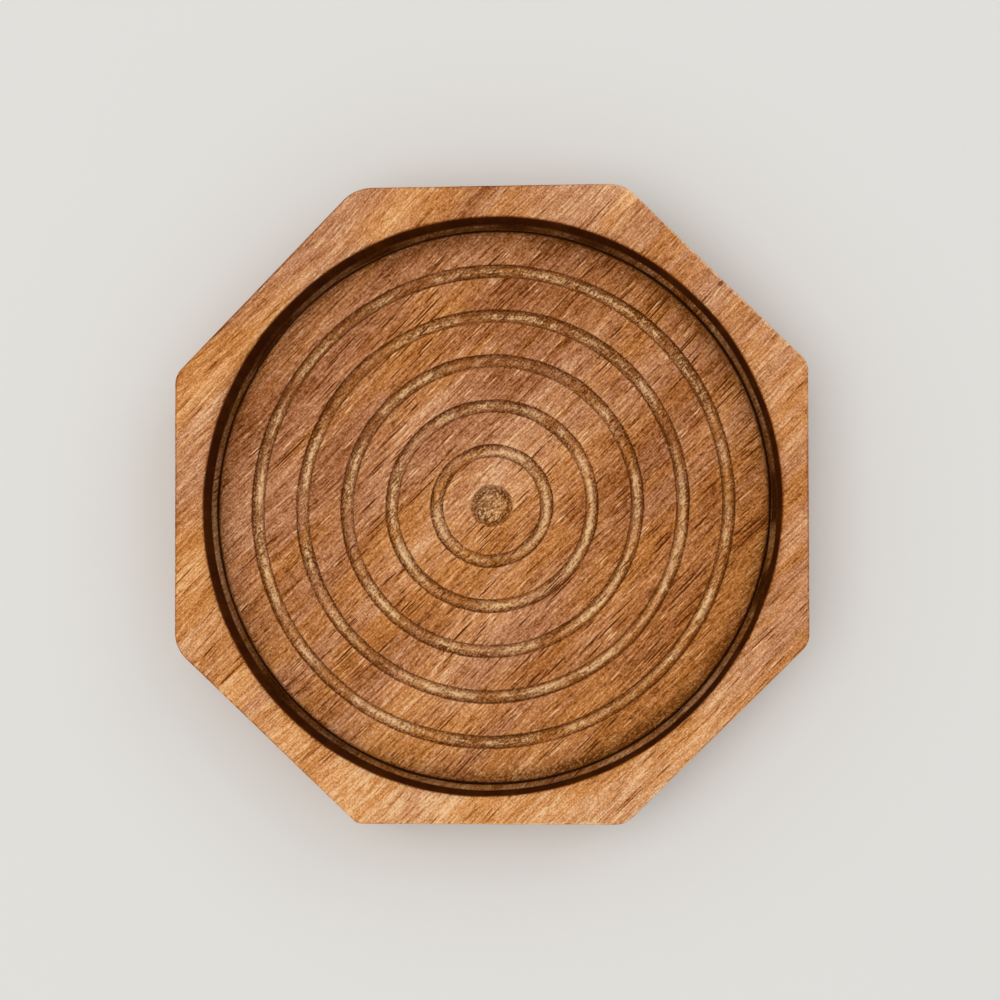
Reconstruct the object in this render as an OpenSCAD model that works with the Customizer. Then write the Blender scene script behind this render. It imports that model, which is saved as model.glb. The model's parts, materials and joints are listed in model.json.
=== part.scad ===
// Wooden drink coaster: an eight-sided board with a round well, ring grooves in its floor, and four rubber feet.
// Millimetres. The origin is on the table under the middle of the board, and +Z points up.

/* [Board] */
// Width of the board across its straight sides
board_w = 100; // [70:1:160]
// Extra width of the board across its sawn corners
corner_extra = 1; // [0:0.5:4]
// Thickness of the board
board_t = 12; // [9:0.5:24]
// Radius of the eight upright corners
corner_r = 4; // [0.5:0.5:10]
// Width of the sanded edge round the top and the underside
edge_break = 0.4; // [0.2:0.1:1]

/* [Well] */
// Narrowest width of the rim round the well
rim_w = 4.5; // [2:0.5:12]
// Depth of the well's floor below the rim
well_depth = 4.5; // [3:0.5:6]
// Width of the sanded edge round the well's mouth
mouth_break = 0.3; // [0.1:0.1:0.8]

/* [Grooves] */
// Radius of the round-nosed cutter that runs the rings and the eye
nose_r = 1.1; // [0.8:0.1:1.6]
// Depth of the rings and the eye below the floor
ring_depth = 0.9; // [0.4:0.05:1.6]
// Radius of the round-nosed cutter that runs the moat along the foot of the wall
moat_nose_r = 0.95; // [0.6:0.05:1.6]
// Depth of the moat below the floor
moat_depth = 1.15; // [0.4:0.05:1.6]
// Radius of the innermost ring
first_ring_r = 8.8; // [7:0.2:16]
// Distance from one ring to the next
ring_pitch = 7.2; // [4:0.2:16]
// Least flat land between the outermost ring and the moat
least_land = 2; // [0.5:0.5:6]
// Radius of the eye at the middle
eye_r = 3.3; // [2.4:0.1:5]

/* [Feet] */
// Diameter of a foot
foot_d = 9; // [6:0.5:14]
// Height of a foot
foot_h = 1.8; // [1:0.1:4]
// Radius of a foot's lower edge
foot_round = 0.5; // [0.2:0.1:0.9]
// Distance from a sawn corner to the middle of its foot
foot_inset = 12.5; // [8:0.5:20]
// Thickness of an adhesive disc
adhesive_t = 0.2; // [0.1:0.05:0.5]
// Margin of an adhesive disc inside its foot
adhesive_margin = 0.3; // [0:0.1:1]

/* [Hidden] */
$fn = 96;
// How far a cutting shape runs past the face that it cuts
overrun = 1;
// Number of sides, and the turn from one to the next
sides = 8;
side_turn = 360 / sides;
// Directions of the four feet: each stands at a sawn corner, which is an odd side
back_right = side_turn;
back_left = 3 * side_turn;
front_left = 5 * side_turn;
front_right = 7 * side_turn;
// Heights above the table
board_z = foot_h + adhesive_t;
rim_z = board_z + board_t;
floor_z = rim_z - well_depth;
// Radii of the well and its grooves
corner_w = board_w + corner_extra;
well_r = board_w / 2 - rim_w;
moat_r = well_r - moat_nose_r;
ring_half_w = ring_depth < nose_r ? sqrt(nose_r * nose_r - (nose_r - ring_depth) * (nose_r - ring_depth)) : nose_r;
ring_room = moat_r - moat_nose_r - least_land - ring_half_w - first_ring_r;
ring_count = max(floor(ring_room / ring_pitch) + 1, 0);
eye_flat_r = eye_r - ring_half_w;
// Where the feet stand
foot_place_r = corner_w / 2 - foot_inset;

wood_colour = "#bb8052";
rubber_colour = "#2b2a29";
adhesive_colour = "#c9c5b8";

// Distance from the middle to side number k: the even sides are straight sides, the odd ones sawn corners
function side_r(k) = (k % 2 == 0 ? board_w : corner_w) / 2;
// Direction that side number k faces
function facing(k) = [cos(k * side_turn), sin(k * side_turn)];
// Middle of the arc between side k and the next: where the two sides meet once moved in by the corner's radius
function arc_middle(k) =
    let (this_r = side_r(k) - corner_r, next_r = side_r(k + 1) - corner_r)
    let (this_way = facing(k), next_way = facing(k + 1))
    [this_r * next_way.y - next_r * this_way.y, next_r * this_way.x - this_r * next_way.x] / sin(side_turn);
// Distance that the outline reaches towards a side, or towards the crown of an arc when k ends in a half
function reach(k) = k == floor(k) ? side_r(k) : arc_middle(floor(k)) * facing(k) + corner_r;

// Outline of the board: straight sides that run into an arc at each corner
module outline() {
    polygon([for (k = [0 : sides - 1]) each
        [arc_middle(k) + corner_r * facing(k), arc_middle(k) + corner_r * facing(k + 1)]]);
    for (k = [0 : sides - 1]) translate(arc_middle(k)) circle(corner_r);
}

// Slab with bevelled edges that breaks the edges of two opposite sides or corners
module bevelled_slab(width) {
    top = rim_z + overrun;
    bottom = board_z - overrun;
    narrow = width / 2 - edge_break - overrun;
    wide = width / 2 + overrun;
    fall = wide - narrow;
    translate([0, board_w, 0]) rotate([90, 0, 0]) linear_extrude(2 * board_w) polygon([
        [-narrow, bottom], [narrow, bottom], [wide, bottom + fall], [wide, top - fall],
        [narrow, top], [-narrow, top], [-wide, top - fall], [-wide, bottom + fall]
    ]);
}

// The board before its well is cut
module blank() {
    intersection() {
        translate([0, 0, board_z]) linear_extrude(board_t) outline();
        intersection_for (k = [0 : 1 / 2 : (sides - 1) / 2]) rotate(k * side_turn) bevelled_slab(2 * reach(k));
    }
}

// Section of a round-nosed cutter, with its shank, when its tip runs at a radius and a depth below the floor
module cutter(radius, depth, tip_r) {
    middle_z = floor_z - depth + tip_r;
    translate([radius, middle_z]) circle(tip_r);
    translate([radius - tip_r, middle_z]) square([2 * tip_r, rim_z - middle_z]);
}

// Section of all that is turned out of the board, from the middle outwards
module well_section() {
    polygon([
        [0, floor_z], [well_r, floor_z], [well_r, rim_z - mouth_break],
        [well_r + mouth_break + overrun, rim_z + overrun], [0, rim_z + overrun]
    ]);
    translate([0, floor_z - ring_depth]) square([eye_flat_r, ring_depth + overrun]);
    cutter(eye_flat_r, ring_depth, nose_r);
    for (k = [0 : 1 : ring_count - 1]) cutter(first_ring_r + k * ring_pitch, ring_depth, nose_r);
    cutter(moat_r, moat_depth, moat_nose_r);
}

module board() {
    color(wood_colour) difference() {
        blank();
        rotate_extrude() well_section();
    }
}

module foot(direction) {
    foot_r = foot_d / 2;
    color(rubber_colour) rotate(direction) translate([foot_place_r, 0, 0]) rotate_extrude() {
        square([foot_r - foot_round, foot_h]);
        translate([0, foot_round]) square([foot_r, foot_h - foot_round]);
        translate([foot_r - foot_round, foot_round]) circle(foot_round);
    }
}

module adhesive(direction) {
    color(adhesive_colour) rotate(direction) translate([foot_place_r, 0, foot_h])
        cylinder(h = adhesive_t, r = foot_d / 2 - adhesive_margin);
}

board();
foot(front_left);  // foot_front_left
foot(front_right);  // foot_front_right
foot(back_left);  // foot_back_left
foot(back_right);  // foot_back_right
adhesive(front_left);  // adhesive_front_left
adhesive(front_right);  // adhesive_front_right
adhesive(back_left);  // adhesive_back_left
adhesive(back_right);  // adhesive_back_right
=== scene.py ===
"""Drink coaster: a wooden board with a turned well, four rubber feet and the adhesive discs under it."""

import json
from functools import partial

import bpy
import numpy as np
from bpy.props import FloatProperty, FloatVectorProperty, IntProperty, PointerProperty
from mathutils import Matrix, Vector


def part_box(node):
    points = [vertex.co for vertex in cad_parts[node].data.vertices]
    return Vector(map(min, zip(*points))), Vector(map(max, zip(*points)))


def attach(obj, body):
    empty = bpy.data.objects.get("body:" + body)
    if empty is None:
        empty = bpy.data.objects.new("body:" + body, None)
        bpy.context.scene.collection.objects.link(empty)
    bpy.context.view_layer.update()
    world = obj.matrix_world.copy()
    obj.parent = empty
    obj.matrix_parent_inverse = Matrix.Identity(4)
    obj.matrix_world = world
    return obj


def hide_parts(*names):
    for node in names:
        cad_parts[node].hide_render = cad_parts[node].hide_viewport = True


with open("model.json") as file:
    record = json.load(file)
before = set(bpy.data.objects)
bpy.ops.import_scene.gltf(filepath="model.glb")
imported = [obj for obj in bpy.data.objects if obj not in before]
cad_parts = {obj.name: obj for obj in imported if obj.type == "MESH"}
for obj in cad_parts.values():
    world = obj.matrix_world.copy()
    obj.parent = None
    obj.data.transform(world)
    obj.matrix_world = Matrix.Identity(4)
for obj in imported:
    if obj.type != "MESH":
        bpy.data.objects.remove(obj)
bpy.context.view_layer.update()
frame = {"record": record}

bl_info = {
    "name": "Turned Coaster",
    "version": (1, 0, 0),
    "blender": (4, 5, 0),
    "location": "View3D > Sidebar > Coaster",
    "description": "Builds an eight-sided wooden coaster with ring grooves and rubber feet",
    "category": "Add Mesh",
}

MM = 0.001
BODY = "root"
CORNERS = ("front_left", "front_right", "back_left", "back_right")
# Fixed start of every random draw
SEED = 7
SIDES = 8
SIDE_TURN = 2 * np.pi / SIDES

BOARD_LOW, BOARD_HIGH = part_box("board")
SEAT_HEIGHT = next(
    mount["pos_m"][2] for mount in frame["record"]["mounts"] if mount["name"] == "glass_seat")


def setting(name, description, default, scale=1.0, **options):
    """A number property, or a row of them, whose default is written in units of the scale."""
    values = np.multiply(default, scale)
    if values.ndim == 0:
        return FloatProperty(name=name, description=description, default=float(values), **options)
    options["default"] = tuple(values.tolist())
    return FloatVectorProperty(name=name, description=description, size=values.size, **options)


# A length, written in millimetres and kept in metres, and a turn, written in degrees and kept in radians
length = partial(setting, scale=MM, unit="LENGTH")
turning = partial(setting, scale=np.radians(1), unit="ROTATION")


def colour(name, description, default):
    """A colour property, written in sRGB steps of 255 and kept as a linear colour."""
    value = np.divide(default, 255)
    linear = np.where(value <= 0.04045, value / 12.92, ((value + 0.055) / 1.055) ** 2.4)
    return setting(name, description, linear, subtype="COLOR", min=0, max=1)


class BoardSizes(bpy.types.PropertyGroup):
    """Sizes of the wooden board."""

    corner_extra: length("Corner extra", "Extra distance to a sawn corner, past that to a side", 0.5)
    corner_radii: length(
        "Corner radii", "Radii of the eight upright corners, as they were sanded",
        (3, 5, 6.5, 3.5, 6, 2, 4, 3.5))
    side_slips: length(
        "Side slips", "How far each side was sawn past its true place",
        (-0.35, 0.2, 0.45, -0.05, 0.05, 0.15, -0.15, -0.3))
    side_turns: turning(
        "Side turns", "How far each side was sawn out of true",
        (-0.5, -0.15, -0.1, 0.55, -0.15, 1.3, -0.2, -0.75))
    arris: length("Arris", "Radius of the sanded edge round the top and the underside", 0.4)
    well_radius: length("Well radius", "Radius of the well at its mouth", 45.5)
    mouth_round: length("Mouth round", "Radius of the sanded edge round the well's mouth", 0.35)
    nose_radius: length("Nose radius", "Radius of the cutter that runs the rings and the eye", 1.02)
    ring_depth: length("Ring depth", "Depth of the rings and the eye below the floor", 0.85)
    ring_ease: length("Ring ease", "Radius of the sanded edges of the rings", 0.3)
    eye_ease: length("Eye ease", "Radius of the sanded edge of the eye", 0.5)
    first_ring: length("First ring", "Radius of the innermost ring", 8.8)
    ring_pitch: length("Ring pitch", "Distance from one ring to the next", 7.2)
    ring_count: IntProperty(name="Ring count", description="Number of rings", default=5, min=1)
    eye_radius: length("Eye radius", "Radius of the eye at the middle", 3.25)
    moat_nose: length("Moat nose", "Radius of the cutter that runs the moat", 0.65)
    moat_depth: length("Moat depth", "Depth of the moat below the floor", 1.15)
    moat_shoulder: length("Moat shoulder", "Radius of the shoulder between the floor and the moat", 1.3)
    chatter: length("Chatter", "How far the cutter strays from its circle", 0.05)
    oval: setting("Oval", "Share by which the turned circles have drawn in across the grain", 0.008)
    grain_angle: turning("Grain angle", "Direction of the grain, from +X", 44.5)
    # The arris: pale where worn, with a painted highlight added on the sides that face the light, and
    # painted shade below 0
    arris_wear_and_light: setting(
        "Arris worn", "How pale the arris is worn towards each side, or darkened below 0",
        (-0.5, 0.9, -0.4, -0.5, -0.5, -0.5, 0.5, 0.2))
    # Painted shade of the well's wall on the floor along the moat, stronger on some sides than others
    brink_shaded: setting(
        "Brink browned", "How brown the floor is along the moat, towards each side",
        (0.1, 0.5, 0.5, 0.3, 0.3, 0.0, 0.6, 0.7))
    # The moat's bed: partly burnt wood, and partly painted shade that is darker on the sides where the bed
    # lies in shade
    moat_burn_and_shade: setting(
        "Moat burnt", "How dark the moat's bed is burnt, towards each side",
        (0.9, 0.42, 0.85, 0.9, 0.35, 0.78, 0.34, 0.42))
    beds_paled: setting(
        "Beds paled", "How pale the beds of the rings are towards each side, or darkened below 0",
        (0.52, -0.58, -0.28, -0.26, 0.08, 0.08, -0.45, 0.75))
    log_place: length(
        "Log place", "Where in its log the board was sawn: along the grain, across it and up",
        (-130, -109, 89))
    knot_place: length(
        "Knot place", "Where the pin knot shows on the rim: along the grain and across it", (50.0, -1.0))
    knot_size: length("Knot size", "Half the length and half the width of the pin knot", (0.75, 0.42))


class WoodColours(bpy.types.PropertyGroup):
    """Colours of the oiled wood."""

    pore: colour("Pore", "Open pores and the darkest fibres", (82, 35, 2))
    brown: colour("Brown", "Dark fibres", (122, 63, 15))
    gold: colour("Gold", "Mean of the golden patches", (172, 106, 47))
    dun: colour("Dun", "Mean of the dull patches", (163, 105, 68))
    straw: colour("Straw", "Light fibres of the golden patches", (209, 143, 82))
    oat: colour("Oat", "Light fibres of the dull patches", (199, 143, 104))
    cream: colour("Cream", "Lightest fibres and torn flecks", (232, 190, 142))
    fuzz: colour("Fuzz", "Rough golden wood in the bed of a groove", (188, 124, 44))
    husk: colour("Husk", "Rough dull wood in the bed of a groove", (176, 128, 78))
    umber: colour("Umber", "Pits in the rough dull wood", (112, 66, 34))
    pith: colour("Pith", "Torn fibres that catch the light", (242, 202, 150))
    # The two darkest browns below also paint the shade on the steep flanks of the grooves, along the floor's
    # brink, in the moat and on the wall
    scorch: colour("Scorch", "Wood that the cutter has browned", (101, 54, 10))
    char: colour("Char", "Wood that the cutter has burnt", (62, 27, 9))
    knot: colour("Knot", "Pin knot", (92, 52, 40))


class FootSizes(bpy.types.PropertyGroup):
    """Sizes of the rubber feet and the adhesive discs."""

    lower_round: length("Lower round", "Radius of a foot's lower edge", 0.5)
    upper_round: length("Upper round", "Radius of a foot's upper edge", 0.15)
    waist: length("Waist", "How far a foot's side is drawn in between its edges", 0.05)
    squeeze: length("Squeeze", "How far an adhesive disc bulges at its edge", 0.04)


class FootColours(bpy.types.PropertyGroup):
    """Colours of the rubber and of the adhesive."""

    rubber: colour("Rubber", "Moulded rubber", (40, 39, 38))
    rubber_dust: colour("Rubber dust", "Dust on the rubber", (66, 64, 61))
    film: colour("Film", "Adhesive film", (201, 197, 184))
    film_cloud: colour("Film cloud", "Cloudy patches in the film", (178, 171, 152))


class StageSizes(bpy.types.PropertyGroup):
    """The floor, the camera and the light."""

    floor_width: length("Floor width", "Width of the floor", 3000)
    floor_colour: colour("Floor colour", "Pale floor", (222, 222, 220))
    camera_distance: length("Camera distance", "Distance from the camera to what it looks at", 265)
    camera_target: length("Camera target", "What the camera looks at", (1.58, 0.78, 14))
    lean_right: turning("Lean right", "How far the camera stands to the right of plumb", 3.0)
    lean_front: turning("Lean front", "How far the camera stands in front of plumb", 1.8)
    roll: turning("Roll", "Turn of the camera about its own axis", -0.44)
    lens: setting("Lens", "Focal length on a 36 mm sensor", 60.84, unit="CAMERA")
    room_light: setting("Room light", "Strength of the even light from all round", 0.765)


def step_between(value, low, high):
    """Smooth step: 0 below low, 1 above high, and a cubic between them."""
    share = np.clip((value - low) / (high - low), 0, 1)
    return share * share * (3 - 2 * share)


def wander(angle, rng, lowest, highest, top):
    """Sum of waves round a circle, each with a random phase and a height that falls with its number. The sum
    is about as high as top."""
    number = np.arange(lowest, highest + 1)
    phase = rng.uniform(0, 2 * np.pi, len(number))
    height = rng.uniform(0.5, 1, len(number)) / np.sqrt(number)
    waves = np.cos(number * np.asarray(angle)[..., None] + phase) @ height
    return top * (waves / np.sqrt((height ** 2).sum() / 2) / 2)


def round_the_sides(angle, values):
    """Values given towards each side of the board, blended from side to side by a smooth step."""
    place = np.mod(angle / SIDE_TURN, SIDES)
    side = np.floor(place).astype(int)
    share = step_between(place - side, 0, 1)
    values = np.array(values)
    return (1 - share) * values[side % SIDES] + share * values[(side + 1) % SIDES]


def closed_mesh(name, grid, start, end):
    """Closed surface from a grid whose rows are loops: quads between the rows, and a fan at either end."""
    row_count, columns = grid.shape[:2]
    points = np.concatenate([grid.reshape(-1, 3), [start, end]])
    here = np.arange(row_count * columns).reshape(row_count, columns)
    after = np.roll(here, -1, axis=1)
    quads = np.stack([here[:-1], here[1:], after[1:], after[:-1]], axis=-1).reshape(-1, 4)
    pole = np.full(columns, row_count * columns)
    fans = np.concatenate([
        np.stack([pole, here[0], after[0]], axis=-1),
        np.stack([pole + 1, after[-1], here[-1]], axis=-1),
    ])
    mesh = bpy.data.meshes.new(name)
    mesh.from_pydata(points.tolist(), [], quads.tolist() + fans.tolist(), shade_flat=False)
    if mesh.validate():
        raise RuntimeError(f"the surface of {name} has faces that don't hold")
    return mesh


def add_piece(name, mesh, finish, node):
    """Puts a mesh into the scene as the piece that stands for a node."""
    mesh.materials.append(finish)
    piece = bpy.data.objects.new(name, mesh)
    bpy.context.scene.collection.objects.link(piece)
    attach(piece, BODY)
    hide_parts(node)


# Numbers of the sockets of a mix node that blend colours
MIX_SHARE, MIX_FIRST, MIX_SECOND = 0, 6, 7
MIX_RESULT = 2


class Finish:
    """A material in the making: each method adds a node, feeds its inputs and returns its output."""

    def __init__(self, name):
        self.material = bpy.data.materials.new(name)
        self.material.use_nodes = True
        self.tree = self.material.node_tree
        self.shader = self.tree.nodes["Principled BSDF"]

    def feed(self, socket, value):
        if isinstance(value, bpy.types.NodeSocket):
            self.tree.links.new(value, socket)
        else:
            socket.default_value = value

    def set(self, **inputs):
        """Feeds the shader: the words of a socket's name are joined by underscores."""
        for name, value in inputs.items():
            self.feed(self.shader.inputs[name.replace("_", " ")], value)

    def add(self, kind, inputs, out=0, **settings):
        node = self.tree.nodes.new(kind)
        for name, value in settings.items():
            setattr(node, name, value)
        for name, value in inputs.items():
            self.feed(node.inputs[name], value)
        return node.outputs[out]

    def math(self, operation, first, second=0.0, third=0.0, clamp=False):
        inputs = {0: first, 1: second, 2: third}
        return self.add("ShaderNodeMath", inputs, operation=operation, use_clamp=clamp)

    def times(self, first, second, clamp=False):
        return self.math("MULTIPLY", first, second, clamp=clamp)

    def total(self, start, *terms):
        """Start plus the sum of value times weight."""
        for value, weight in terms:
            start = self.math("MULTIPLY_ADD", value, weight, start)
        return start

    def centred(self, start, *terms):
        """Start plus the sum of weight times what each value has over a half, the mean of a noise."""
        return self.total(start - 0.5 * sum(weight for _, weight in terms), *terms)

    def millimetres(self, turn=0.0):
        """Place on the piece in millimetres, turned so that a direction at that turn becomes X."""
        place = self.add("ShaderNodeTexCoord", {}, out="Object")
        inputs = {"Vector": place, "Rotation": (0, 0, -turn), "Scale": (1 / MM,) * 3}
        return self.add("ShaderNodeMapping", inputs, vector_type="POINT")

    def stretch(self, place, *factors):
        return self.add("ShaderNodeVectorMath", {0: place, 1: factors}, operation="MULTIPLY")

    def shift(self, place, other):
        return self.add("ShaderNodeVectorMath", {0: place, 1: other}, operation="ADD")

    def reach(self, place):
        """Distance of a place from the origin."""
        return self.add("ShaderNodeVectorMath", {0: place}, out="Value", operation="LENGTH")

    def part(self, place, axis):
        return self.add("ShaderNodeSeparateXYZ", {"Vector": place}, out=axis)

    def noise(self, place, factors, detail=2.0, roughness=0.5):
        """Cloudy noise between 0 and 1, with as many waves to a unit along each axis as the factors say."""
        stretched = self.stretch(place, *factors)
        inputs = {"Vector": stretched, "Scale": 1.0, "Detail": detail, "Roughness": roughness}
        return self.add("ShaderNodeTexNoise", inputs)

    def dashes(self, place, factors, kept, largest, least=0.4, full=0.6):
        """Thin dashes: the neighbourhood of random points in stretched space. A share of them is kept, and a
        share of those shows in full. The smallest is the least share of the largest."""
        inputs = {"Vector": self.stretch(place, *factors), "Scale": 1.0}
        point = self.add("ShaderNodeTexVoronoi", inputs).node.outputs
        chance = self.add("ShaderNodeSeparateColor", {"Color": point["Color"]}).node.outputs
        size = self.total(least * largest, (chance["Green"], (1 - least) * largest))
        near = self.math("DIVIDE", point["Distance"], size)
        chosen = self.between(chance["Red"], 1 - kept, 1 - full * kept)
        return self.times(self.between(near, 1.0, 0.5), chosen)

    def between(self, value, low, high, start=0.0, end=1.0):
        """Smooth step of a value from low to high, mapped from start to end."""
        inputs = {"Value": value, "From Min": low, "From Max": high, "To Min": start, "To Max": end}
        return self.add("ShaderNodeMapRange", inputs, interpolation_type="SMOOTHSTEP")

    def mix(self, share, first, second):
        """Blend of two colours: the first where the share is 0, and the second where it is 1."""
        inputs = {MIX_SHARE: share, MIX_FIRST: self.opaque(first), MIX_SECOND: self.opaque(second)}
        return self.add("ShaderNodeMix", inputs, out=MIX_RESULT, data_type="RGBA")

    def ramp(self, value, places, tints):
        """Colours at places from 0 to 1."""
        blend = self.add("ShaderNodeValToRGB", {"Fac": value}, out="Color")
        elements = blend.node.color_ramp.elements
        elements[0].position, elements[1].position = places[0], places[-1]
        for place in places[1:-1]:
            elements.new(place)
        for element, tint in zip(elements, tints):
            element.color = self.opaque(tint)
        return blend

    def attribute(self, name):
        return self.add("ShaderNodeAttribute", {}, out="Fac", attribute_name=name)

    def bump(self, height, strength, distance):
        inputs = {"Height": height, "Strength": strength, "Distance": distance}
        self.set(Normal=self.add("ShaderNodeBump", inputs))

    @staticmethod
    def opaque(value):
        return value if isinstance(value, bpy.types.NodeSocket) else (*value, 1.0)


# Tones at which the colours of the sound wood and of the rough wood stand
SOUND_STOPS = (0.0, 0.25, 0.5, 0.75, 1.0)
ROUGH_STOPS = (0.0, 0.4, 0.88, 1.0)
# Distances from the middle, in millimetres, between which the looks of a place set in
EYE_EDGE = (4.5, 3.2)
PALE_SPOT = (10.0, 3.0)
PALE_MIDDLE = (38.0, 6.0)
MOAT_EDGE = (43.3, 44.3)
# How fast the marks of the cutter change round the well, and from circle to circle
MARKS_ROUND = 14
MARKS_OUTWARD = 3.0
# Whole width of the grain's slow sideways drift, in millimetres
DRIFT_WIDTH = 4.0


class OiledWood(Finish):
    """Oiled wood that is solid all through: noises stretched along the grain. Attributes of the mesh say
    where the cutter has left rough or burnt wood and where shade is painted dark, where the floor is, and
    where the edges are worn pale, with painted highlights and painted shade along some of them. Places are
    in millimetres along the grain, across it and up. A number beside a layer is its weight in a sum."""

    def __init__(self, sizes, colours):
        super().__init__("oiled_wood")
        self.sizes, self.colours = sizes, colours
        self.bed, self.scorch, self.floor, self.wear, self.side = map(
            self.attribute, ("bed", "scorch", "floor", "wear", "side"))
        self.find_places()
        self.lay_grain()
        self.lay_crumbs()
        self.find_tone()
        self.find_hue()
        wood = self.mix(self.knot_share(), self.sound_wood(), colours.knot)
        wood = self.mix(self.rough_share(), wood, self.rough_wood())
        wood = self.mix(self.burn_and_shade_share(), wood, self.burn_and_shade_wood())
        self.set(Base_Color=wood, Specular_IOR_Level=self.total(0.06, (self.scorch, -0.05)))
        self.set(Roughness=self.total(0.50, (self.fibres, 0.16), (self.bed, 0.15), (self.wear, -0.06)))
        self.raise_grain()

    def find_places(self):
        """Places on the board, in its log and along the drifting grain, and distances."""
        self.on_board = self.millimetres(self.sizes.grain_angle)
        self.straight = self.shift(self.on_board, tuple(value / MM for value in self.sizes.log_place))
        drift = self.noise(self.straight, (0.02, 0.05, 0.05))
        aside = self.centred(0.0, (drift, DRIFT_WIDTH))
        self.grain = self.shift(self.straight, self.add("ShaderNodeCombineXYZ", {"Y": aside}))
        self.along = self.part(self.on_board, "X")
        self.across = self.times(self.part(self.on_board, "Y"), self.floor)
        self.level = self.stretch(self.on_board, 1, 1, 0)
        self.from_middle = self.reach(self.level)
        self.in_eye = self.between(self.from_middle, *EYE_EDGE)

    def lay_grain(self):
        """Layers of the sound wood, from the broadest to the finest, and its pores."""
        grain = self.grain
        self.patches = self.noise(grain, (0.022, 0.09, 0.09), detail=1)
        self.bands = self.noise(grain, (0.04, 0.5, 0.5))
        self.streaks = self.noise(grain, (0.10, 1.2, 1.2))
        self.fibres = self.noise(grain, (0.17, 2.6, 2.6), roughness=0.6)
        self.hairs = self.noise(grain, (1.2, 4.5, 4.5), roughness=0.6)
        self.speckle = self.noise(self.straight, (3.6, 3.6, 3.6), detail=1, roughness=0.7)
        crowd = self.between(self.noise(grain, (0.05, 0.16, 0.16), detail=1), 0.38, 0.62, 0.30, 1.05)
        self.long_pores = self.times(self.dashes(grain, (0.07, 2.1, 2.1), kept=0.75, largest=0.36), crowd)
        self.pores = self.times(self.dashes(grain, (0.16, 2.6, 2.6), kept=0.85, largest=0.42), crowd)
        self.short_pores = self.dashes(grain, (0.45, 3.4, 3.4), kept=0.60, largest=0.44)
        self.threads = self.dashes(grain, (0.26, 2.9, 2.9), kept=0.30, largest=0.42)

    def lay_crumbs(self):
        """Layers of the rough wood: crumbs, the cutter's marks, and where the wood is torn."""
        self.crumbs = self.noise(self.straight, (1.9, 3.2, 3.2), detail=1, roughness=0.6)
        outward = self.add("ShaderNodeVectorMath", {0: self.level}, operation="NORMALIZE")
        turned = self.shift(
            self.stretch(outward, MARKS_ROUND, MARKS_ROUND, 0),
            self.add("ShaderNodeCombineXYZ", {"Z": self.times(self.from_middle, MARKS_OUTWARD)}))
        self.marks = self.noise(turned, (1, 1, 1), detail=3, roughness=0.6)
        self.stretches = self.noise(self.straight, (0.16, 0.16, 0.16))
        self.torn = self.between(self.stretches, 0.42, 0.62)
        self.glow = self.between(self.noise(self.straight, (0.1, 0.13, 0.1), detail=1), 0.38, 0.62)
        self.chips = self.dashes(self.straight, (1.5, 4.0, 4.0), kept=0.4, largest=0.55)
        self.pits = self.dashes(self.grain, (1.1, 4.2, 4.2), kept=0.45, largest=0.50)

    def find_tone(self):
        """How light the wood is: the sum of its layers, with its pores, paler in the middle of the floor."""
        strokes = self.total(
            0.0, (self.long_pores, -0.42), (self.pores, -0.38), (self.short_pores, -0.20),
            (self.threads, 0.30))
        fine = self.centred(0.0, (self.fibres, 0.62), (self.hairs, 0.45), (self.speckle, 0.60))
        fine = self.total(fine, (strokes, self.total(0.7, (self.floor, 0.3))))
        broad = self.centred(0.690, (self.patches, 0.60), (self.bands, 0.32), (self.streaks, 0.34))
        # Paler towards the middle of the floor, in part painted light where the walls of the well shade it
        # least
        pale_middle = self.total(
            0.0, (self.between(self.from_middle, *PALE_SPOT), 0.04),
            (self.between(self.from_middle, *PALE_MIDDLE), 0.03))
        pale_bed = self.total(0.11, (self.from_middle, -0.0016), (self.in_eye, -0.10))
        # The floor is darker than the rim, partly painted shade of the well and partly its rougher wood
        self.tone = self.total(
            broad, (fine, self.total(1.28, (self.floor, 0.12))), (pale_middle, self.floor),
            (self.floor, -0.170), (self.wear, 0.30), (self.side, -0.10), (self.along, -0.0004),
            (self.times(self.along, self.floor), -0.0007), (self.bed, pale_bed))

    def find_hue(self):
        """Where the wood is golden, at 0, and where it is dull, at 1."""
        along_rim = self.times(self.along, self.total(1.0, (self.floor, -1.0)))
        hue = self.centred(0.0, (self.noise(self.grain, (0.03, 0.13, 0.13)), 0.60), (self.streaks, 0.30))
        hue = self.total(hue, (self.across, 0.0018), (along_rim, 0.0018))
        self.hue = self.between(hue, -0.13, 0.13)

    def sound_wood(self):
        """Colour of the wood that the cutter has left smooth."""
        tint = self.colours
        golden = (tint.pore, tint.brown, tint.gold, tint.straw, tint.cream)
        dull = (tint.pore, tint.brown, tint.dun, tint.oat, tint.cream)
        return self.mix(self.hue, *(self.ramp(self.tone, SOUND_STOPS, tints) for tints in (golden, dull)))

    def knot_share(self):
        """Where the pin knot is: an oval on the rim, with a ragged edge."""
        place = tuple(-value / MM for value in self.sizes.knot_place)
        to_knot = self.shift(self.on_board, (*place, 0.0))
        in_knot = self.reach(self.stretch(to_knot, *(MM / value for value in self.sizes.knot_size), 0.0))
        on_rim = self.math("SUBTRACT", 1.0, self.math("ADD", self.floor, self.side), clamp=True)
        knot = self.times(self.between(self.total(in_knot, (self.speckle, 0.8)), 1.5, 0.9), on_rim)
        return self.times(knot, 0.8)

    def rough_share(self):
        """How much of a groove's bed is rough: most where the wood is torn."""
        return self.times(self.bed, self.total(0.15, (self.torn, 0.70)))

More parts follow.
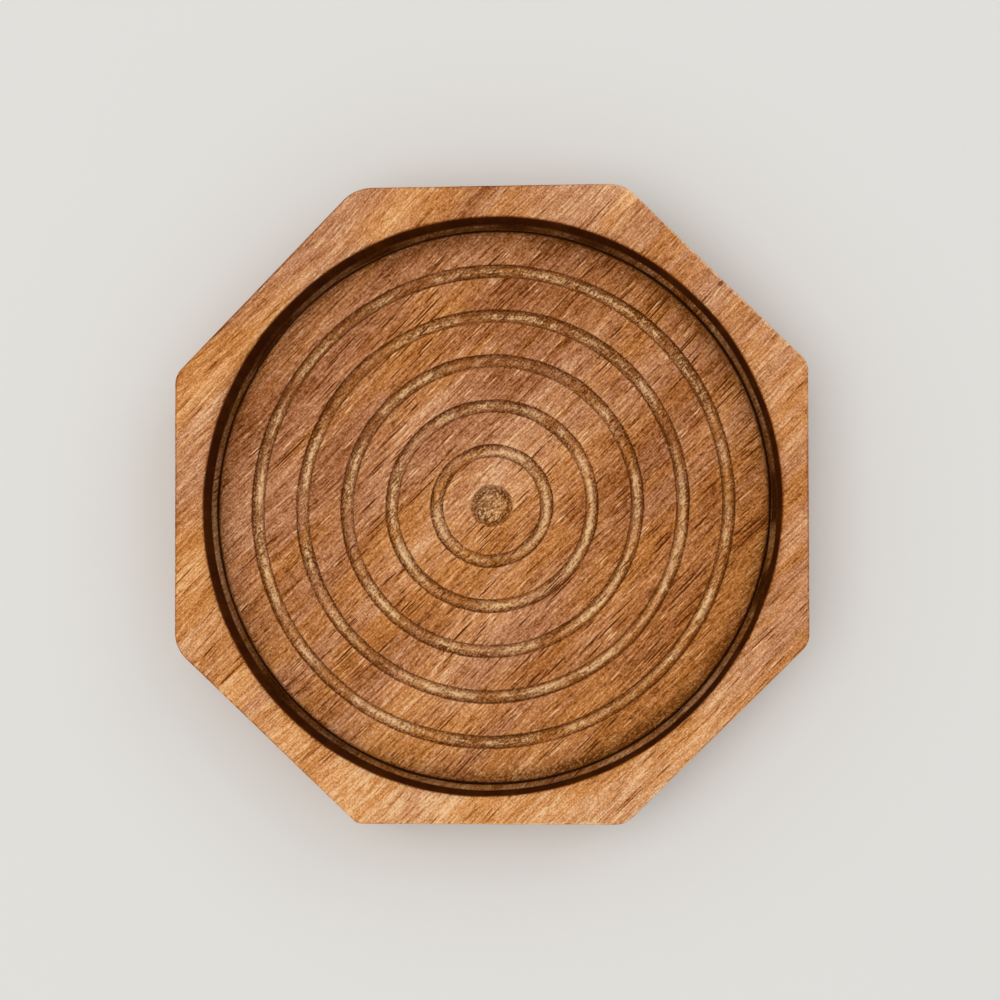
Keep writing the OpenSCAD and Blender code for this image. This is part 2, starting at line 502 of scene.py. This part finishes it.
    def rough_wood(self):
        """Colour of the rough wood: the tone of the wood with crumbs, pale chips and dark pits."""
        tint, in_eye = self.colours, self.in_eye
        flecks = self.between(self.total(0.0, (self.crumbs, 0.5), (self.marks, 0.5)), 0.54, 0.61)
        crumbling = self.centred(0.0, (self.crumbs, 0.9), (self.speckle, 0.9), (self.marks, 1.6))
        eye_crumbs = self.times(self.centred(0.0, (self.crumbs, 1.0)), in_eye)
        torn_chips = self.times(self.chips, self.total(0.3, (self.torn, 0.7)))
        tone = self.total(
            -0.28, (self.tone, 1.0), (crumbling, 1.0), (eye_crumbs, 2.0),
            (self.times(flecks, self.torn), 0.4), (self.torn, 0.2), (self.glow, 0.30), (in_eye, -0.48),
            (torn_chips, 1.3), (self.pits, -0.85), (self.across, -0.002),
            (self.times(self.pits, in_eye), 0.45), (self.times(self.chips, in_eye), -0.5))
        dullness = self.total(-0.25, (self.hue, 0.5), (self.glow, -0.3), (self.stretches, 1.3))
        golden = self.ramp(tone, ROUGH_STOPS, (tint.brown, tint.fuzz, tint.cream, tint.pith))
        dull = self.ramp(tone, ROUGH_STOPS, (tint.umber, tint.husk, tint.cream, tint.pith))
        return self.mix(self.between(dullness, 0.25, 0.75), golden, dull)

    def burn_and_shade_share(self):
        """How much of the wood is darkened, partly browned by the cutter and partly painted shade: patchy,
        but even in the moat.
        """
        patchy = self.total(0.0, (self.speckle, 0.25), (self.crumbs, 0.45), (self.marks, 0.3))
        dark_share = self.between(patchy, 0.42, 0.57, 1.5, 0.45)
        evened = self.times(self.total(1.0, (dark_share, -1.0)), self.between(self.from_middle, *MOAT_EDGE))
        dark_share = self.total(dark_share, (evened, 0.75), (self.between(self.scorch, 0.8, 1.0), 0.4))
        return self.times(self.scorch, dark_share, clamp=True)

    def burn_and_shade_wood(self):
        """Colour of the browned wood and of the painted shade, which blends into the darkest colour, of
        charred wood and deep shade, where it is darkest.
        """
        darkness = self.total(0.0, (self.scorch, 1.0), (self.crumbs, 0.6), (self.marks, 0.9))
        return self.mix(self.between(darkness, 1.25, 1.9), self.colours.scorch, self.colours.char)

    def raise_grain(self):
        """Fine relief of the fibres, the pores and the rough beds."""
        relief = self.total(
            0.0, (self.hairs, 0.4), (self.speckle, 0.3), (self.long_pores, -1.0), (self.pores, -0.8),
            (self.short_pores, -0.5), (self.times(self.crumbs, self.bed), 0.8),
            (self.times(self.marks, self.bed), 1.0))
        self.bump(relief, strength=0.5, distance=0.12 * MM)


def rubber_finish(colours):
    """Moulded rubber: a fine mottle with dust that lies in patches."""
    finish = Finish("moulded_rubber")
    place = finish.millimetres()
    mottle = finish.noise(place, (1.1, 1.1, 1.1), detail=3)
    grit = finish.noise(place, (9.0, 9.0, 9.0))
    dusty = finish.between(mottle, 0.4, 0.75)
    finish.set(Base_Color=finish.mix(dusty, colours.rubber, colours.rubber_dust))
    finish.set(Roughness=finish.total(0.62, (mottle, 0.2)), Specular_IOR_Level=0.3)
    finish.bump(grit, strength=0.4, distance=0.05 * MM)
    return finish.material


def film_finish(colours):
    """Adhesive film: pale, with cloudy patches where it has wetted the wood."""
    finish = Finish("adhesive_film")
    cloud = finish.noise(finish.millimetres(), (0.8, 0.8, 0.8), detail=3)
    cloudy = finish.between(cloud, 0.35, 0.65)
    finish.set(Base_Color=finish.mix(cloudy, colours.film, colours.film_cloud))
    finish.set(Roughness=finish.total(0.3, (cloud, 0.25)))
    finish.bump(cloud, strength=0.3, distance=0.03 * MM)
    return finish.material


def floor_finish(tint):
    """Matt pale floor with a faint cloud in its tone."""
    finish = Finish("pale_floor")
    cloud = finish.noise(finish.millimetres(), (0.004, 0.004, 0.004), detail=3)
    darker = tuple(0.96 * value for value in tint)
    finish.set(Base_Color=finish.mix(cloud, darker, tint), Roughness=0.8, Specular_IOR_Level=0.2)
    return finish.material


# Columns of the board's grid on each corner's arc and on each straight side, where they crowd to the ends
ARC_COLUMNS = 9
FLAT_COLUMNS = 40
COLUMN_CROWD = 0.08


def outline(sizes):
    """Outline of the board as a closed loop, with the direction that it faces at each point. Each side is a
    line at a distance along the way it faces. Between two sides runs an arc about the point where their
    lines meet once they are moved in by the corner's radius."""
    number = np.arange(SIDES)
    facing = number * SIDE_TURN + np.array(sizes.side_turns)
    straight = (BOARD_HIGH.x - BOARD_LOW.x) / 2
    reach = straight + sizes.corner_extra * (number % 2) + np.array(sizes.side_slips)
    radius = np.array(sizes.corner_radii)
    span = np.diff(np.append(facing, facing[0] + 2 * np.pi))
    onward = facing + span
    this_in, next_in = reach - radius, np.roll(reach, -1) - radius
    middle = np.stack([
        this_in * np.sin(onward) - next_in * np.sin(facing),
        next_in * np.cos(facing) - this_in * np.cos(onward),
    ], axis=-1) / np.sin(span)[:, None]
    arc_facing = facing[:, None] + span[:, None] * np.linspace(0, 1, ARC_COLUMNS)
    arc_way = np.stack([np.cos(arc_facing), np.sin(arc_facing)], axis=-1)
    arc = middle[:, None] + radius[:, None, None] * arc_way
    start, end = arc[:, -1], np.roll(arc, -1, axis=0)[:, 0]
    even = np.linspace(0, 1, FLAT_COLUMNS + 2)[1:-1]
    share = even - COLUMN_CROWD * np.sin(2 * np.pi * even)
    flat = start[:, None] + (end - start)[:, None] * share[:, None]
    flat_facing = np.repeat(onward[:, None], FLAT_COLUMNS, axis=1)
    loop = np.concatenate([arc, flat], axis=1).reshape(-1, 2)
    loop_facing = np.concatenate([arc_facing, flat_facing], axis=1).ravel()
    return loop, loop_facing


# Rows of a groove on the arc of the cutter's tip and on each easing arc
RING_ROWS = (17, 5)
EYE_ROWS = (13, 5)
MOAT_ROWS = (15, 7)


def groove_section(tip, depth, ease, arc_rows, ease_rows):
    """Section of a groove about its middle: an arc of the cutter's tip between two convex arcs that ease it
    into the land. An easing arc touches the land and the tip's arc, so that its middle lies the sum of the
    two radii from the tip's. Gives each point's distance from the middle, height from the land and
    steepness."""
    tip_height = tip - depth
    ease_place = np.sqrt((tip + ease) ** 2 - (tip_height + ease) ** 2)
    lean = np.arctan2(tip_height + ease, ease_place)
    tip_turn = np.linspace(np.pi + lean, 2 * np.pi - lean, arc_rows)
    ease_turn = np.linspace(np.pi - lean, np.pi / 2, ease_rows + 1)[1:]
    arc = np.stack([
        tip * np.cos(tip_turn), tip_height + tip * np.sin(tip_turn), np.abs(np.cos(tip_turn))])
    right = np.stack([
        ease_place + ease * np.cos(ease_turn), ease * np.sin(ease_turn) - ease, np.abs(np.cos(ease_turn))])
    left = right[:, ::-1] * np.array([[-1], [1], [1]])
    return np.concatenate([left, arc, right], axis=1)


ROW_VALUES = (
    "radius", "inset", "share", "height", "drop", "bed", "scorch", "hand", "brink", "moat", "arris", "floor",
    "wear", "side")


def rows(**values):
    """A block of the board's section: its values by name, each one number or one for every row."""
    count = max(np.size(value) for value in values.values())
    return np.stack([np.broadcast_to(values.get(name, 0.0), (count,)) for name in ROW_VALUES])


# How dark a ring is at its inner and its outer line, and on a line besides, partly browned by the cutter and
# partly painted shade of its steep flanks, and how much painted highlight lies past either
RING_BROWN_AND_SHADE = np.array([0.66, 0.80])
LINE_BROWN_AND_SHADE = 0.1
RING_HIGHLIGHT = np.array([0.05, 0.2])
# Distances from a ring's line between which these set in or fade
LINE_WIDTH = 0.2 * MM
LINE_FADE = (0.02 * MM, 0.22 * MM)
HIGHLIGHT_FADE = (0.12 * MM, 0.3 * MM)
# Depths at which the beds of the rings and the eye are fully rough, and the eye's side fully browned
RING_BED = 0.25 * MM
EYE_BED = 0.3 * MM
EYE_SIDE = 0.12 * MM


def ring_rows(middle, points):
    """A ring's rows: darker and darker from its middle to its steep edges, partly browned where the cutter
    rubbed and partly painted shade of the steep flanks, and rough in its bed. A painted highlight lies pale
    along the outer edge, where its rounded burr catches the light."""
    place, height, steep = points
    outer = (place > 0).astype(int)
    line = np.abs(place[np.argmax(steep)])
    past = np.abs(place) - line
    # Brown of the cutter's rubbing together with painted shade of the steep flanks
    browned = RING_BROWN_AND_SHADE[outer] * np.clip(np.abs(place) / line, 0, 1)
    browned = browned + LINE_BROWN_AND_SHADE * (1 - step_between(np.abs(past), 0.0, LINE_WIDTH))
    return rows(
        radius=middle + place, height=SEAT_HEIGHT + height, floor=1.0, hand=np.sign(place),
        bed=step_between(-height, 0.0, RING_BED) * (1 - step_between(steep, 0.2, 0.8)),
        scorch=browned * (1 - step_between(past, *LINE_FADE)),
        # Painted highlight past the lines, strongest along the outer edge
        wear=RING_HIGHLIGHT[outer] * step_between(past, *HIGHLIGHT_FADE))


# Places of the rows on the eye's flat bed, as shares of its radius, and how brown they are
EYE_SHARES = np.array([0.3, 0.65, 0.95])
EYE_BROWNED = np.array([0.22, 0.22, 0.32])
# How brown the eye is where it is deep, how much more on its side, and the share spared where that is steep
DEEP_BROWNED = 0.28
SIDE_BROWNED = 0.52
STEEP_SPARED = 0.4


def eye_rows(middle, points):
    """The eye's side: browned all over, a little less where it is steepest, with a rough bed."""
    place, height, steep = points
    deep = step_between(-height, 0.0, EYE_BED)
    side = step_between(steep, -0.05, 0.3) * step_between(-height, 0.0, EYE_SIDE)
    steepest = step_between(steep, 0.35, 0.75)
    return rows(
        radius=middle + place, height=SEAT_HEIGHT + height, floor=1.0,
        bed=deep * (1 - step_between(steep, 0.1, 0.5)),
        scorch=DEEP_BROWNED * deep + SIDE_BROWNED * side * (1 - STEEP_SPARED * steepest))


# How far in from the moat's middle its bed ends and its brink is full, in radii of its cutter
BRINK_ENDS = (0.6, 1.2)
# How dark the moat's flank and its shoulder are, partly burnt wood and partly painted shade, how rough its
# bed is, and from which share of its depth
FLANK_BURN_AND_SHADE = 1.2
SHOULDER_BURN_AND_SHADE = 0.97
MOAT_ROUGH = 0.4
ROUGH_FROM = 0.6


def moat_rows(middle, sizes, points):
    """The moat's rows up to the wall: a brink with painted shade, a shoulder and flank that are partly burnt
    and partly painted shade, and a bed.
    """
    place, height, steep = points
    bed_end, brink_end = (share * sizes.moat_nose for share in BRINK_ENDS)
    on_bed = place > -bed_end
    flank = step_between(steep, 0.5, 0.85)
    return rows(
        radius=middle + place, height=SEAT_HEIGHT + height, floor=1.0,
        bed=MOAT_ROUGH * step_between(-height, ROUGH_FROM * sizes.moat_depth, sizes.moat_depth),
        brink=step_between(-place, bed_end, brink_end) * (1 - step_between(steep, 0.2, 0.8)),
        moat=on_bed * (1 - flank),
        # Flank and shoulder: burnt wood with painted shade
        scorch=np.where(on_bed, FLANK_BURN_AND_SHADE * flank, SHOULDER_BURN_AND_SHADE * step_between(steep, 0.35, 0.8)))


WALL_ROWS = 7
MOUTH_ROWS = 5
ARRIS_ROWS = 6
SIDE_ROWS = 7
# Places of the rows on the rim, from the mouth to the outline, and on the underside, back from it
RIM_SHARES = np.array([0.04, 0.15, 0.4, 0.65, 0.88, 0.97, 1.0])
UNDER_SHARES = np.array([1.0, 0.99, 0.9, 0.7, 0.45, 0.2])
# Distance from a groove's edge to the first row of the land beside it
LAND_MARGIN = 0.15 * MM
# How much painted shade the rows of the last land get towards the moat, and how much painted highlight those
# of a land past a ring get
BRINK_SHADE_SHARES = np.array([0, 0, 0.12, 0.55, 1])
LAND_HIGHLIGHT = np.array([0.15, 0, 0, 0, 0])
# How dark the wall is, partly burnt wood and partly painted shade of the well, how much less at its lip, and
# how far down that reaches
WALL_BURN_AND_SHADE = 1.3
LIP_SPARED = 0.4
LIP_REACH = 0.7 * MM
# How brown the mouth is at the rim, how much more at the wall, and how brown the rim is beside it
MOUTH_BROWNED = (0.12, 0.68)
RIM_BROWNED = 0.15


def quarter_turn(count):
    """Turns from just past 0 to a quarter, in even steps."""
    return np.linspace(0, np.pi / 2, count + 1)[1:]


def floor_blocks(sizes):
    """Rows of the well's floor, from the eye over the lands and the rings to the moat."""
    ring = groove_section(sizes.nose_radius, sizes.ring_depth, sizes.ring_ease, *RING_ROWS)
    eye = groove_section(sizes.nose_radius, sizes.ring_depth, sizes.eye_ease, *EYE_ROWS)
    eye = eye[:, eye.shape[1] // 2:]
    eye_middle = sizes.eye_radius - sizes.nose_radius
    moat = groove_section(sizes.moat_nose, sizes.moat_depth, sizes.moat_shoulder, *MOAT_ROWS)
    moat = moat[:, :sum(MOAT_ROWS)]
    moat_middle = sizes.well_radius - sizes.moat_nose

    blocks = [
        rows(radius=eye_middle * EYE_SHARES, height=SEAT_HEIGHT - sizes.ring_depth, floor=1.0, bed=1.0,
             scorch=EYE_BROWNED),
        eye_rows(eye_middle, eye),
    ]
    land_start = eye_middle + eye[0, -1]
    ring_middles = sizes.first_ring + sizes.ring_pitch * np.arange(sizes.ring_count)
    grooves = [ring_rows(middle, ring) for middle in ring_middles] + [moat_rows(moat_middle, sizes, moat)]
    for number, groove in enumerate(grooves):
        land_end = groove[0, 0]
        land = np.linspace((land_start + land_end) / 2, land_end - LAND_MARGIN, len(BRINK_SHADE_SHARES) - 1)
        blocks.append(rows(
            radius=np.append(land_start + LAND_MARGIN, land), height=SEAT_HEIGHT, floor=1.0,
            # Painted shade on the last land along the moat, and a painted highlight on a land past a ring
            brink=BRINK_SHADE_SHARES * (number == sizes.ring_count), wear=LAND_HIGHLIGHT * (number > 0)))
        blocks.append(groove)
        land_start = groove[0, -1]
    return blocks


def wall_blocks(sizes):
    """Rows of the wall and of the rounded mouth over it."""
    foot = SEAT_HEIGHT - sizes.moat_depth + sizes.moat_nose
    lip = BOARD_HIGH.z - sizes.mouth_round
    height = np.linspace(foot, lip, WALL_ROWS)
    turn = quarter_turn(MOUTH_ROWS)
    at_rim, at_wall = MOUTH_BROWNED
    return [
        # The wall: burnt wood with painted shade of the well, less at its lip
        rows(radius=sizes.well_radius, height=height, floor=1.0,
             scorch=WALL_BURN_AND_SHADE - LIP_SPARED * step_between(height, lip - LIP_REACH, lip)),
        rows(radius=sizes.well_radius + sizes.mouth_round * (1 - np.cos(turn)),
             height=lip + sizes.mouth_round * np.sin(turn), floor=np.cos(turn),
             scorch=at_rim + at_wall * step_between(np.cos(turn), 0.3, 1.0)),
    ]


def arris_rows(sizes, turn, height, way):
    """Rows of a rounded arris, which falls from a height where the way is 1, and rises where it is -1."""
    return rows(
        share=1.0, inset=sizes.arris * (1 - np.sin(turn)), drop=way * sizes.arris * (1 - np.cos(turn)),
        height=height, arris=np.sin(2 * turn), side=1 - np.cos(turn))


def outer_blocks(sizes):
    """Rows of the rim, the top arris, the sides, the lower arris and the underside."""
    top, bottom = BOARD_HIGH.z, BOARD_LOW.z
    turn = quarter_turn(ARRIS_ROWS)
    side_height = np.linspace(top - sizes.arris, bottom + sizes.arris, SIDE_ROWS + 2)[1:-1]
    return [
        rows(radius=sizes.well_radius + sizes.mouth_round, share=RIM_SHARES, inset=sizes.arris, height=top,
             scorch=RIM_BROWNED * (1 - step_between(RIM_SHARES, 0.03, 0.16))),
        arris_rows(sizes, turn, top, 1),
        rows(share=1.0, height=side_height, side=1.0),
        arris_rows(sizes, turn[::-1], bottom, -1),
        rows(share=UNDER_SHARES, inset=sizes.arris, height=bottom),
    ]


def board_section(sizes):
    """Section of the board from the middle of its top to the middle of its underside. The rows of the well
    are circles, the rim runs from the mouth's circle to the outline, and the rows past it follow the
    outline, moved in by an inset and down by a drop where the arris is rounded."""
    blocks = floor_blocks(sizes) + wall_blocks(sizes) + outer_blocks(sizes)
    return dict(zip(ROW_VALUES, np.concatenate(blocks, axis=1)))


# What varies round the board: the numbers of its lowest and its highest wave, and about how high it goes
STRAY = (3, 40, 1.0)
RUB = (2, 14, 0.3)
HAND = (2, 12, 0.7)
BURN_AND_SHADE = (4, 25, 0.3)
SANDING = (2, 40, 0.3)
NICKS = (9, 90, 1.0)
# How high a wave has to be to nick the arris, and how much wider that makes it
NICK_START = 0.9
NICK_WIDTH = 0.8
# Growth of radius over which the cutter's waves turn by one radian, and over which its stray sets in
WAVE_TWIST = 4 * MM
# The row values that the mesh keeps as attributes, and what they are at the middle of the top
ATTRIBUTES = {"bed": 1.0, "scorch": EYE_BROWNED[0], "floor": 1.0, "wear": 0.0, "side": 0.0}


def board_mesh(sizes):
    """The board's surface: each row of its section carried round the outline's columns. The turned circles
    are drawn in across the grain by a second wave. The cutter's stray and the arris's width vary on the
    way."""
    rng = np.random.default_rng(SEED)
    loop, facing = outline(sizes)
    section = {name: values[:, None] for name, values in board_section(sizes).items()}
    radius = section["radius"]
    angle = np.arctan2(loop[:, 1], loop[:, 0])
    oval = 1 + sizes.oval * np.cos(2 * (angle - sizes.grain_angle))
    twist = angle + radius / WAVE_TWIST
    stray = wander(twist, rng, *STRAY) * step_between(radius, 0, WAVE_TWIST)
    rub = wander(twist, rng, *RUB) + section["hand"] * wander(twist, rng, *HAND)
    scorch = section["scorch"] ** np.exp(rub)
    # Painted shade along the floor's brink and in the moat's bed, varying from side to side
    for name, by_sides in (("brink", sizes.brink_shaded), ("moat", sizes.moat_burn_and_shade)):
        patchy = 1 + wander(angle, rng, *BURN_AND_SHADE)
        scorch = scorch + section[name] * round_the_sides(angle, by_sides) * patchy
    section["scorch"] = np.clip(scorch, 0, 1)
    on_rings = section["bed"] * step_between(radius, sizes.eye_radius, sizes.first_ring - sizes.nose_radius)
    # The arris: worn pale, with a painted highlight on some sides and painted shade on others; the ring beds
    # are paler on some sides and darker on others
    for share, by_sides in ((section["arris"], sizes.arris_wear_and_light), (on_rings, sizes.beds_paled)):
        section["wear"] = section["wear"] + share * round_the_sides(angle, by_sides)

    circle = (radius + sizes.chatter * stray) * oval
    ring_place = circle[..., None] * np.stack([np.cos(angle), np.sin(angle)], axis=-1)
    sanded = 1 + wander(angle, rng, *SANDING)
    sanded = sanded + NICK_WIDTH * np.clip(wander(angle, rng, *NICKS) - NICK_START, 0, 1)
    outward = np.stack([np.cos(facing), np.sin(facing)], axis=-1)
    edge_place = loop - (section["inset"] * sanded)[..., None] * outward
    share = section["share"][..., None]
    flat_place = (1 - share) * ring_place + share * edge_place
    height = section["height"] - section["drop"] * sanded
    grid = np.concatenate([flat_place, height[..., None]], axis=-1)
    start = (0, 0, SEAT_HEIGHT - sizes.ring_depth)
    mesh = closed_mesh("turned_board", grid, start, (0, 0, BOARD_LOW.z))
    for name, at_start in ATTRIBUTES.items():
        spread = np.broadcast_to(section[name], height.shape).ravel()
        values = np.append(spread, (at_start, 0.0)).astype(np.float32)
        mesh.attributes.new(name, "FLOAT", "POINT").data.foreach_set("value", values)
    return mesh


# Columns of a foot or a disc, rows on each part of its edge, and places of the rows on its flat faces
ROUND_COLUMNS = 96
EDGE_ROWS = 7
FOOT_SHARES = np.array([0.35, 0.7, 0.97])
DISC_SHARES = np.array([0.4, 0.75, 0.97])


def revolved(name, middle, radius, height, shares):
    """Closed surface of an edge that is turned about an upright axis, with a flat face at its top and its
    foot. The rows of a face lie at shares of its radius."""
    radius = np.concatenate([radius[0] * shares, radius, radius[-1] * shares[::-1]])
    height = np.pad(height, len(shares), mode="edge")
    turn = np.linspace(0, 2 * np.pi, ROUND_COLUMNS, endpoint=False)
    around = np.stack([np.cos(turn), np.sin(turn)], axis=-1)
    flat = np.asarray(middle) + radius[:, None, None] * around
    upright = np.broadcast_to(height[:, None, None], (*flat.shape[:2], 1))
    grid = np.concatenate([flat, upright], axis=-1)
    return closed_mesh(name, grid, (*middle, height[0]), (*middle, height[-1]))


def foot_edge(radius, low, high, sizes):
    """Edge of a foot from top to sole: a small arc, a side drawn in by half a wave, and a larger arc."""
    turn = np.linspace(0, np.pi / 2, EDGE_ROWS)
    side = np.linspace(0, 1, EDGE_ROWS)[1:-1]
    upper, lower = sizes.upper_round, sizes.lower_round
    parts = [
        (radius - upper * (1 - np.sin(turn)), high - upper * (1 - np.cos(turn))),
        (radius - sizes.waist * np.sin(np.pi * side), high - upper - (high - low - upper - lower) * side),
        (radius - lower * (1 - np.cos(turn)), low + lower * (1 - np.sin(turn))),
    ]
    return [np.concatenate(values) for values in zip(*parts)]


def disc_edge(radius, low, high, sizes):
    """Edge of an adhesive disc, which bulges by half a wave."""
    turn = np.linspace(0, np.pi, EDGE_ROWS)
    return radius - sizes.squeeze * (1 - np.sin(turn)), (high + low) / 2 + (high - low) / 2 * np.cos(turn)


def add_rounds(word, node_word, finish, edge, shares):
    """Adds one round piece under each corner of the board, which stands for the node there."""
    sizes = bpy.context.scene.coaster_feet
    for corner in CORNERS:
        name, node = f"{word}_{corner}", f"{node_word}_{corner}"
        low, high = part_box(node)
        middle = ((low.x + high.x) / 2, (low.y + high.y) / 2)
        radius, height = edge((high.x - low.x) / 2, low.z, high.z, sizes)
        add_piece(name, revolved(name, middle, radius, height, shares), finish, node)


class COASTER_OT_make_board(bpy.types.Operator):
    """Make the wooden board with its well, rings, eye and moat"""

    bl_idname = "coaster.make_board"
    bl_label = "Make Board"

    def execute(self, context):
        sizes = context.scene.coaster_board
        wood = OiledWood(sizes, context.scene.coaster_wood).material
        add_piece("turned_board", board_mesh(sizes), wood, "board")
        return {"FINISHED"}


class COASTER_OT_make_feet(bpy.types.Operator):
    """Make the four rubber feet"""

    bl_idname = "coaster.make_feet"
    bl_label = "Make Feet"

    def execute(self, context):
        rubber = rubber_finish(context.scene.coaster_foot_colours)
        add_rounds("rubber_foot", "foot", rubber, foot_edge, FOOT_SHARES)
        return {"FINISHED"}


class COASTER_OT_make_adhesive(bpy.types.Operator):
    """Make the four adhesive discs"""

    bl_idname = "coaster.make_adhesive"
    bl_label = "Make Adhesive"

    def execute(self, context):
        film = film_finish(context.scene.coaster_foot_colours)
        add_rounds("adhesive_disc", "adhesive", film, disc_edge, DISC_SHARES)
        return {"FINISHED"}


# Soft lamps: where each one stands and its width, in metres, its power in watts and its tint
LAMPS = {
    "key_lamp": ((-0.15, -0.02, 0.52), 0.45, 0.82, (1.0, 0.97, 0.93)),
    "fill_lamp": ((0.40, 0.35, 0.45), 0.40, 0.6, (0.95, 0.97, 1.0)),
}
ROOM_TINT = (1.0, 0.99, 0.97, 1.0)
CLIP_START = 10 * MM
FLOOR_POINTS = 9


def floor_mesh(width):
    """Flat square grid on the table's plane, with even steps along both sides."""
    across = np.linspace(-width / 2, width / 2, FLOOR_POINTS)
    x, y = np.meshgrid(across, across)
    points = np.stack([x, y, np.zeros_like(x)], axis=-1).reshape(-1, 3)
    here = np.arange(x.size).reshape(x.shape)
    faces = np.stack([here[:-1, :-1], here[:-1, 1:], here[1:, 1:], here[1:, :-1]], axis=-1)
    mesh = bpy.data.meshes.new("floor")
    mesh.from_pydata(points.tolist(), [], faces.reshape(-1, 4).tolist())
    return mesh


def add_camera(stage):
    """Camera that looks nearly straight down, a little from the right and the front."""
    away = Vector((np.sin(stage.lean_right), -np.sin(stage.lean_front), 0))
    away.z = np.sqrt(1 - away.length_squared)
    right = Vector((0, 1, 0)).cross(away).normalized()
    turned = Matrix((right, away.cross(right), away)).transposed() @ Matrix.Rotation(stage.roll, 3, "Z")
    place = Vector(stage.camera_target) + stage.camera_distance * away
    camera = bpy.data.objects.new("camera", bpy.data.cameras.new("camera"))
    camera.data.lens = stage.lens
    camera.data.clip_start = CLIP_START
    camera.matrix_world = Matrix.Translation(place) @ turned.to_4x4()
    bpy.context.scene.collection.objects.link(camera)
    bpy.context.scene.camera = camera


def add_lamp(name, place, width, power, tint):
    """Square soft lamp that faces the coaster."""
    lamp = bpy.data.lights.new(name, "AREA")
    lamp.size, lamp.energy, lamp.color = width, power, tint
    holder = bpy.data.objects.new(name, lamp)
    holder.location = place
    holder.rotation_euler = Vector(place).to_track_quat("Z", "Y").to_euler()
    bpy.context.scene.collection.objects.link(holder)


def add_world(strength):
    """Even soft light from all round."""
    world = bpy.data.worlds.new("soft_room")
    world.use_nodes = True
    background = world.node_tree.nodes["Background"]
    background.inputs["Color"].default_value = ROOM_TINT
    background.inputs["Strength"].default_value = strength
    bpy.context.scene.world = world


class COASTER_OT_set_stage(bpy.types.Operator):
    """Set the floor, the lamps and the camera"""

    bl_idname = "coaster.set_stage"
    bl_label = "Set Stage"

    def execute(self, context):
        stage = context.scene.coaster_stage
        mesh = floor_mesh(stage.floor_width)
        mesh.materials.append(floor_finish(stage.floor_colour))
        floor = bpy.data.objects.new("floor", mesh)
        context.scene.collection.objects.link(floor)
        for name, lamp in LAMPS.items():
            add_lamp(name, *lamp)
        add_world(stage.room_light)
        add_camera(stage)
        context.scene.view_settings.view_transform = "Standard"
        return {"FINISHED"}


class COASTER_PT_sidebar(bpy.types.Panel):
    """Lists the coaster's sizes, colours and steps"""

    bl_label = "Coaster"
    bl_idname = "COASTER_PT_sidebar"
    bl_space_type = "VIEW_3D"
    bl_region_type = "UI"
    bl_category = "Coaster"

    def draw(self, context):
        for group in GROUPS:
            box = self.layout.box()
            settings = getattr(context.scene, group)
            for name in settings.bl_rna.properties.keys():
                if name not in ("rna_type", "name"):
                    box.prop(settings, name)
        for operator in OPERATORS:
            self.layout.operator(operator.bl_idname)


GROUPS = {
    "coaster_board": BoardSizes,
    "coaster_wood": WoodColours,
    "coaster_feet": FootSizes,
    "coaster_foot_colours": FootColours,
    "coaster_stage": StageSizes,
}
OPERATORS = (COASTER_OT_make_board, COASTER_OT_make_feet, COASTER_OT_make_adhesive, COASTER_OT_set_stage)


def register():
    for entry in (*GROUPS.values(), *OPERATORS, COASTER_PT_sidebar):
        bpy.utils.register_class(entry)
    for name, group in GROUPS.items():
        setattr(bpy.types.Scene, name, PointerProperty(type=group))


def unregister():
    for name in GROUPS:
        delattr(bpy.types.Scene, name)
    for entry in (COASTER_PT_sidebar, *reversed(OPERATORS), *reversed(GROUPS.values())):
        bpy.utils.unregister_class(entry)


def main():
    register()
    bpy.ops.coaster.make_board()
    bpy.ops.coaster.make_feet()
    bpy.ops.coaster.make_adhesive()
    bpy.ops.coaster.set_stage()


if __name__ == "__main__":
    main()
